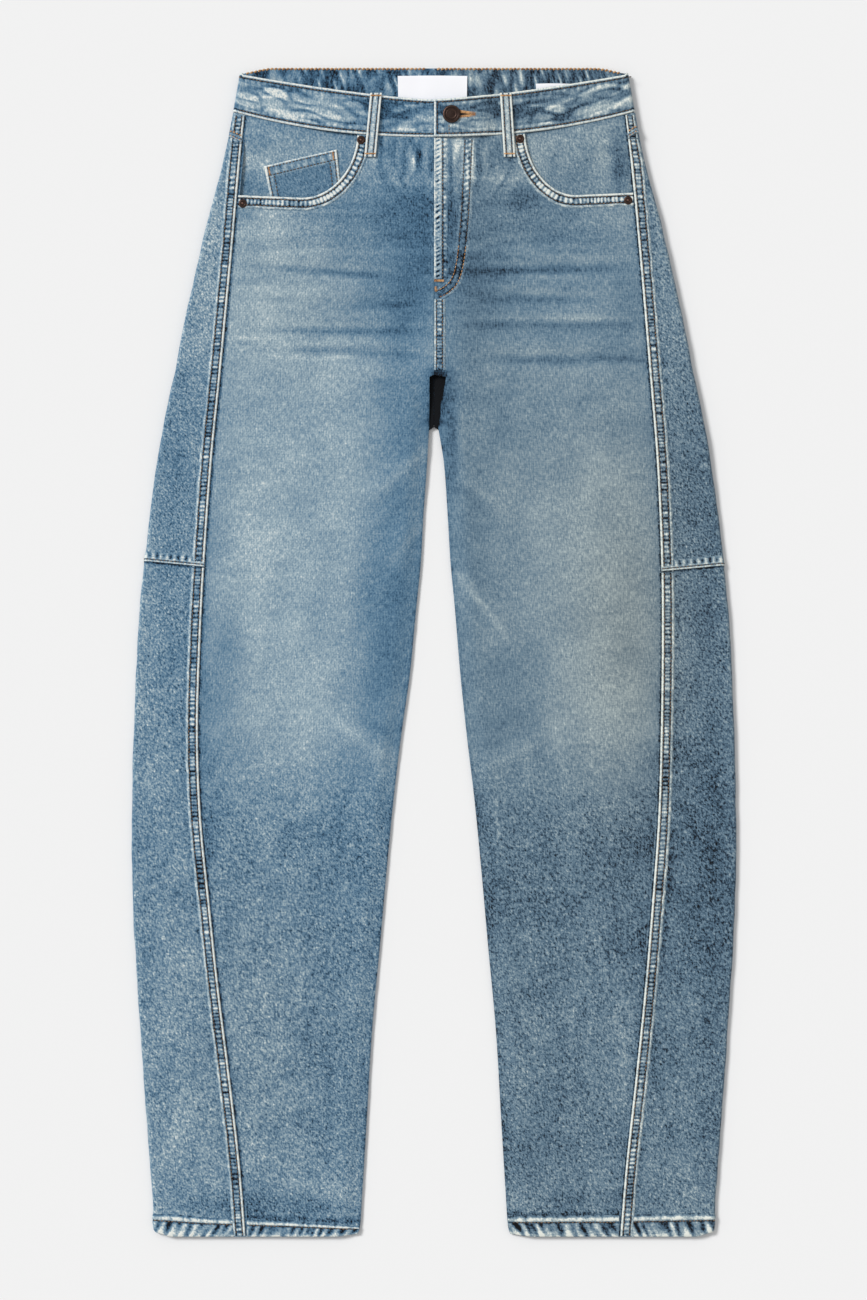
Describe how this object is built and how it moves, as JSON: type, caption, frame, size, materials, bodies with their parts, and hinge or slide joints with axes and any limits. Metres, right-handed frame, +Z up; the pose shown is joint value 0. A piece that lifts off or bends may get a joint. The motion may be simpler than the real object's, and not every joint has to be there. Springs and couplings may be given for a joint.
{
  "type": "barrel-leg denim trousers",
  "caption": "Baggy barrel-leg denim trousers laid flat, front up, with a buttoned waistband, curved front pockets and a side strip wrapping from the back to a felled front seam.",
  "frame": {"origin": "centre of the garment's box in plan, on the surface it lies on", "axes": "+Z up from the surface towards the garment's front, +Y from the hems to the waist, +X towards the wearer's left"},
  "size_m": [0.544, 1.052, 0.0132],
  "materials": {
    "denim_front": "faded washed indigo twill",
    "denim_side": "stone-washed indigo twill",
    "denim_dark": "less worn indigo twill",
    "fittings": "antique copper, worn bright on its rims",
    "labels": "woven satin, blank"
  },
  "bodies": {
    "root": {"front_left": "denim_front", "front_right": "denim_front", "back_upper_left": "denim_side", "back_upper_right": "denim_side", "back_lower_left": "denim_side", "back_lower_right": "denim_side", "back_yoke_left": "denim_side", "back_yoke_right": "denim_side", "waistband_left": "denim_front", "waistband_right": "denim_front", "pocket_facing_left": "denim_dark", "pocket_facing_right": "denim_dark", "coin_pocket": "denim_dark", "back_pocket_left": "denim_side", "back_pocket_right": "denim_side", "belt_loop_front_left": "denim_front", "belt_loop_front_right": "denim_front", "belt_loop_back_left": "denim_side", "belt_loop_back_centre": "denim_side", "belt_loop_back_right": "denim_side", "button": "fittings", "rivet_left_waist": "fittings", "rivet_left_side": "fittings", "rivet_right_waist": "fittings", "rivet_right_side": "fittings", "waist_label": "labels", "care_label": "labels"}
  },
  "joints": []
}
